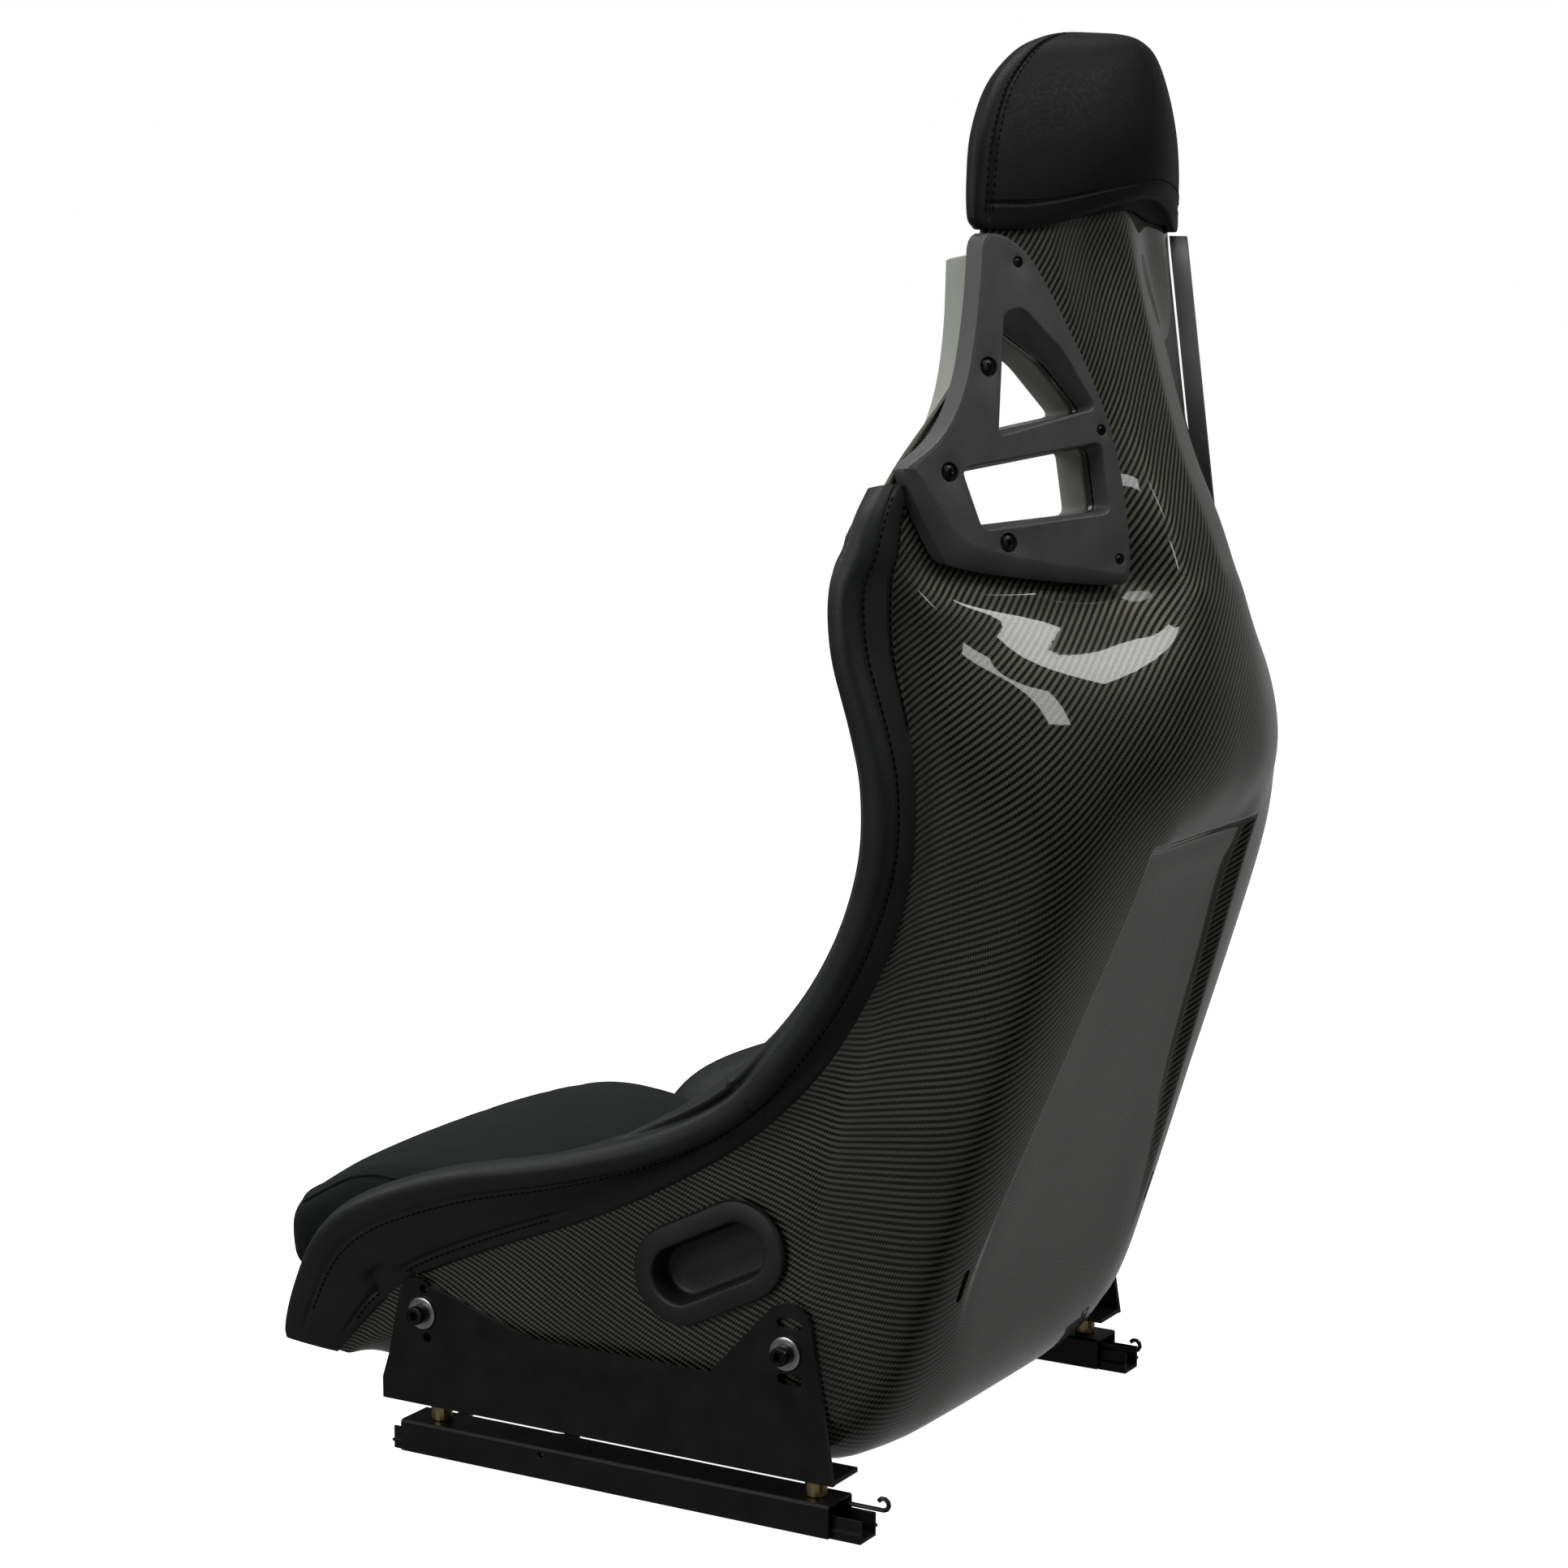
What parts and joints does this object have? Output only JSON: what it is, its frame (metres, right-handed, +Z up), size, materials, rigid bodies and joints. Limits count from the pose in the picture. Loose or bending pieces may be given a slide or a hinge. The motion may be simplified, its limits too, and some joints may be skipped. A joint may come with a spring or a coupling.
{
  "type": "racing seat",
  "caption": "Fixed-back bucket seat: carbon shell with leather-trimmed bolsters and headrest, harness windows, loose cushions and side mounts on sliding rails with a release bar.",
  "frame": {"origin": "centre of the footprint, on the undersides of the lower rails", "axes": "+Z up; the seat faces -Y; +X is the sitter's left; X = 0 is the plane of symmetry"},
  "size_m": [0.5398, 0.6874, 0.966],
  "materials": {
    "carbon": "woven carbon laminate under clear gloss lacquer",
    "leather": "smooth black leather with dark stitching",
    "fabric": "black suede-like fabric",
    "grey_trim": "matt greenish grey",
    "black_plastic": "fine-grained black",
    "black_steel": "black powder coat",
    "bolt_steel": "black oxide",
    "zinc": "bright zinc plating",
    "brass": "yellow zinc plating",
    "spring_steel": "plain spring steel"
  },
  "bodies": {
    "floor_rails": {"lower_rail_left": "black_steel", "lower_rail_right": "black_steel"},
    "seat": {"seat_shell": "carbon", "headrest_cover": "leather", "side_bolster_left": "leather", "side_bolster_right": "leather", "shoulder_cushion": "fabric", "lumbar_cushion": "fabric", "neck_cushion": "fabric", "seat_cushion": "fabric", "wing_trim_left": "grey_trim", "wing_trim_right": "grey_trim", "wing_cover_left": "black_plastic", "wing_cover_right": "black_plastic", "belt_guide_left": "black_plastic", "belt_guide_right": "black_plastic", "side_mount_left": "black_steel", "side_mount_right": "black_steel", "upper_rail_left": "black_steel", "upper_rail_right": "black_steel", "rail_clip_left": "black_steel", "rail_clip_right": "black_steel", "wing_screw_upper_left": "bolt_steel", "wing_screw_upper_right": "bolt_steel", "wing_screw_outer_left": "bolt_steel", "wing_screw_outer_right": "bolt_steel", "wing_screw_lower_left": "bolt_steel", "wing_screw_lower_right": "bolt_steel", "side_bolt_front_left": "bolt_steel", "side_bolt_front_right": "bolt_steel", "side_bolt_rear_left": "bolt_steel", "side_bolt_rear_right": "bolt_steel", "side_washer_front_left": "zinc", "side_washer_front_right": "zinc", "side_washer_rear_left": "zinc", "side_washer_rear_right": "zinc", "shell_insert_front_left": "zinc", "shell_insert_front_right": "zinc", "shell_insert_rear_left": "zinc", "shell_insert_rear_right": "zinc", "rail_spacer_front_left": "brass", "rail_spacer_front_right": "brass", "rail_spacer_rear_left": "brass", "rail_spacer_rear_right": "brass", "rail_bolt_front_left": "brass", "rail_bolt_front_right": "brass", "rail_bolt_rear_left": "brass", "rail_bolt_rear_right": "brass", "lock_spring_left": "spring_steel", "lock_spring_right": "spring_steel"},
    "ball_cages": {"ball_cage_left": "spring_steel", "ball_cage_right": "spring_steel"},
    "release": {"release_bar": "black_steel", "release_grip": "black_plastic", "lock_pawl_left": "spring_steel", "lock_pawl_right": "spring_steel", "release_shaft_left": "spring_steel", "release_shaft_right": "spring_steel"}
  },
  "joints": [
    {"name": "seat_slide", "type": "slide", "parent": "floor_rails", "child": "seat", "axis": [0, 1, 0], "range_m": [-0.1, 0.1]},
    {"name": "cage_slide", "type": "slide", "parent": "floor_rails", "child": "ball_cages", "axis": [0, 1, 0], "range_m": [-0.05, 0.05]},
    {"name": "release_lift", "type": "hinge", "parent": "seat", "child": "release", "pos_m": [0, -0.0695, 0.0187], "axis": [-1, 0, 0], "range_deg": [0, 8], "stiffness_Nm_per_rad": 2, "springref_deg": -5.73}
  ],
  "couplings": [
    {"joint": "cage_slide", "follows": "seat_slide", "ratio": 0.5}
  ]
}
